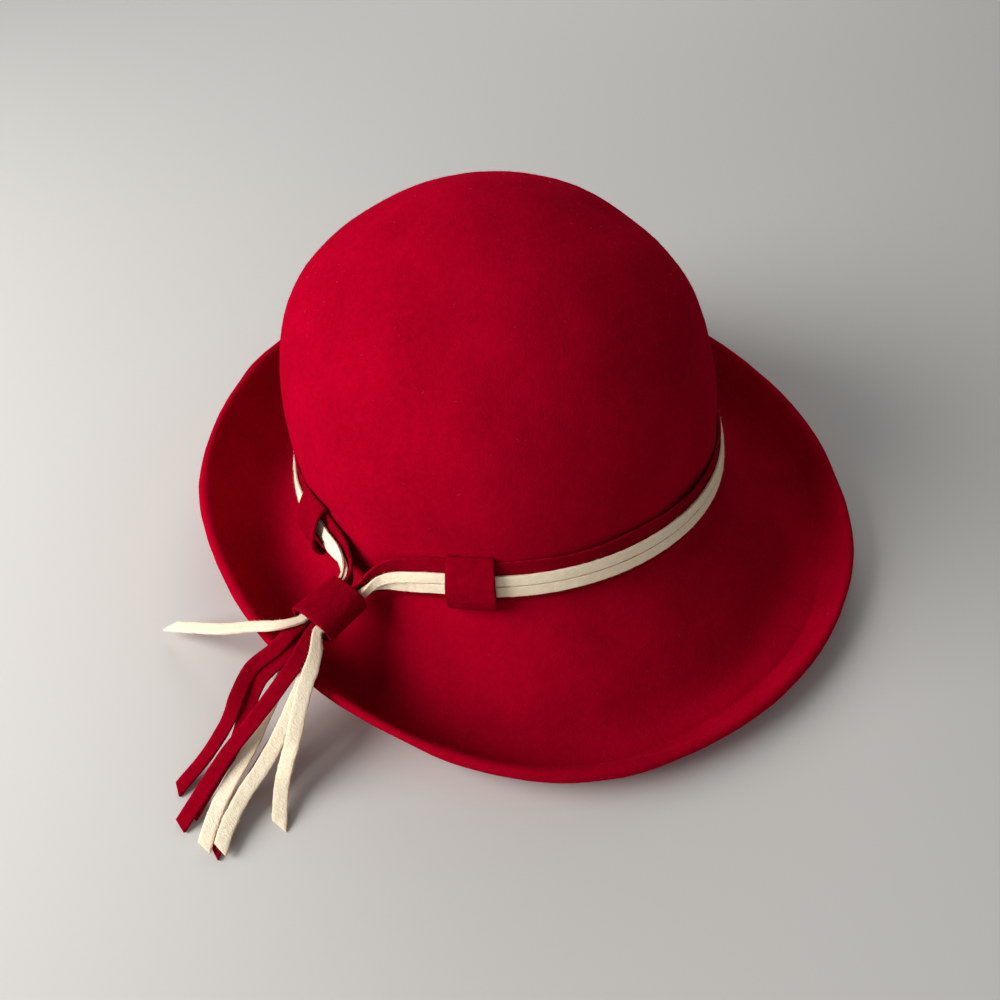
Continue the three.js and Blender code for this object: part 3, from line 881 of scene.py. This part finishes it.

# %% [markdown]
# ## Felt and lace
#
# The materials use the group with their own colours. The red is deep enough that hardly any green or
# blue comes back, so its sheen is red too, or the dark side would turn grey. Strip, keepers, slide
# and red ends get a darker red than the hat's, which is painted shade for pieces that lie in shade.
# Nap and lint are single fibres and take a plain colour; the red nap's is lighter than its felt, a
# painted highlight for fibres that catch the light.

# %% Wool and single fibres
RELIEF = 0.15 * MM    # how deep the pile's bumps are taken to be


def wool(name, worn, deep, cut_edge, sheen, sheen_tint, bump):
    material = bpy.data.materials.new(name)
    material.use_nodes = True
    nodes, links = material.node_tree.nodes, material.node_tree.links
    shader = nodes["Principled BSDF"]
    shader.inputs["Roughness"].default_value = 0.95
    shader.inputs["Specular IOR Level"].default_value = 0.0
    shader.inputs["Sheen Weight"].default_value = sheen
    shader.inputs["Sheen Roughness"].default_value = 0.45
    shader.inputs["Sheen Tint"].default_value = (*sheen_tint, 1)
    face = nodes.new("ShaderNodeGroup")
    face.node_tree = matted_wool
    face.inputs["Worn"].default_value = (*worn, 1)
    face.inputs["Deep"].default_value = (*deep, 1)
    face.inputs["Cut edge"].default_value = (*cut_edge, 1)
    links.new(face.outputs["Color"], shader.inputs["Base Color"])
    relief = nodes.new("ShaderNodeBump")
    relief.inputs["Strength"].default_value = bump
    relief.inputs["Distance"].default_value = RELIEF
    links.new(face.outputs["Height"], relief.inputs["Height"])
    links.new(relief.outputs["Normal"], shader.inputs["Normal"])
    return material


def single_fibre(name, color):
    material = bpy.data.materials.new(name)
    material.use_nodes = True
    shader = material.node_tree.nodes["Principled BSDF"]
    shader.inputs["Base Color"].default_value = (*color, 1)
    shader.inputs["Roughness"].default_value = 0.9
    shader.inputs["Specular IOR Level"].default_value = 0.05
    return material


# %% Colours
RED_SHEEN = (1.0, 0.03, 0.12)

# On felt the cut_edge colour is a lighter red, partly the wool's paler inside and partly painted highlight.
red_felt = wool(
    "red_felt", worn=(0.39, 0.0005, 0.023), deep=(0.28, 0.0005, 0.016), cut_edge=(0.41, 0.002, 0.03),
    sheen=0.12, sheen_tint=RED_SHEEN, bump=0.4,
)
# Painted shade: the trim's felt is a darker red than the hat's, for pieces that lie in shade.
shaded_red_felt = wool(
    "shaded_red_felt", worn=(0.29, 0.0005, 0.016), deep=(0.19, 0.0005, 0.011), cut_edge=(0.38, 0.003, 0.035),
    sheen=0.08, sheen_tint=RED_SHEEN, bump=0.5,
)
# Painted reflection: the lace's cut_edge colour is tinted pink, as by light from the red felt beside it.
cream_lace = wool(
    "cream_lace", worn=(0.91, 0.81, 0.63), deep=(0.77, 0.66, 0.48), cut_edge=(0.90, 0.62, 0.48),
    sheen=0.06, sheen_tint=(1.0, 0.92, 0.8), bump=0.7,
)
# Painted highlight: the red nap is lighter than the felt it stands on, for fibres catching the light at the
# outline; the trim's nap is darker than the hat's, as painted shade.
red_fibre = single_fibre("red_fibre", (0.50, 0.004, 0.030))
shaded_red_fibre = single_fibre("shaded_red_fibre", (0.36, 0.003, 0.022))
cream_fibre = single_fibre("cream_fibre", (0.90, 0.80, 0.66))
pale_fibre = single_fibre("pale_fibre", (0.72, 0.26, 0.32))

FINISHES = [
    (red_felt, [hat, stitches]), (shaded_red_felt, red_trim), (cream_lace, cream_trim),
    (red_fibre, [nap]), (shaded_red_fibre, [trim_nap]), (cream_fibre, [lace_nap]), (pale_fibre, [lint]),
]
for material, pieces in FINISHES:
    for piece in pieces:
        piece.data.materials.append(material)
print("materials:", ", ".join(material.name for material in bpy.data.materials))

# %% [markdown]
# ## Table and light
#
# The table is plain and pale. One soft light stands low and near on the left, as a window would, so
# the crown's left is bright, and hat and table both grow dark to the right. A weak low light in
# front brings up the laces, which face it, more than the brim. A second weak one behind, as from a
# far window, keeps the crown's back edge from going dark, and a faint even sky fills the rest.

# %% Table
def make_table():
    select_only(hat)
    bpy.ops.mesh.primitive_plane_add(size=8, location=(0, 0, 0))
    table = bpy.context.active_object
    table.name = "table"
    material = bpy.data.materials.new("table")
    material.use_nodes = True
    shader = material.node_tree.nodes["Principled BSDF"]
    shader.inputs["Base Color"].default_value = (0.58, 0.565, 0.535, 1)
    shader.inputs["Roughness"].default_value = 0.8
    shader.inputs["Specular IOR Level"].default_value = 0.1
    table.data.materials.append(material)
    return table


table = make_table()
print(table.name, "laid")

# %% Light
def make_light(name, toward, height, distance, size, watts):
    """A soft disk aimed at the origin: toward and height in degrees, distance and size in metres."""
    light = bpy.data.objects.new(name, bpy.data.lights.new(name, "AREA"))
    light.data.shape = "DISK"
    light.data.size = size
    light.data.energy = watts
    turn, lift = math.radians(toward), math.radians(height)
    direction = Vector((math.cos(lift) * math.cos(turn), math.cos(lift) * math.sin(turn), math.sin(lift)))
    light.location = direction * distance
    light.rotation_mode = "QUATERNION"
    light.rotation_quaternion = direction.to_track_quat("Z", "Y")
    bpy.context.scene.collection.objects.link(light)
    return light


def make_sky(color, strength):
    sky = bpy.data.worlds.new("sky")
    sky.use_nodes = True
    background = sky.node_tree.nodes["Background"]
    background.inputs["Color"].default_value = (*color, 1)
    background.inputs["Strength"].default_value = strength
    bpy.context.scene.world = sky


window = make_light("window", toward=158, height=30, distance=1.1, size=0.8, watts=13.4)
fill = make_light("fill", toward=225, height=12, distance=1.5, size=1.0, watts=3.3)
far_window = make_light("far_window", toward=50, height=32, distance=1.5, size=1.0, watts=5.5)
make_sky(color=(0.95, 0.97, 1.0), strength=0.21)
bpy.context.scene.view_settings.view_transform = "Standard"
bpy.context.scene.view_settings.look = "Medium High Contrast"
print("lit by", ", ".join(light.name for light in (window, fill, far_window)))
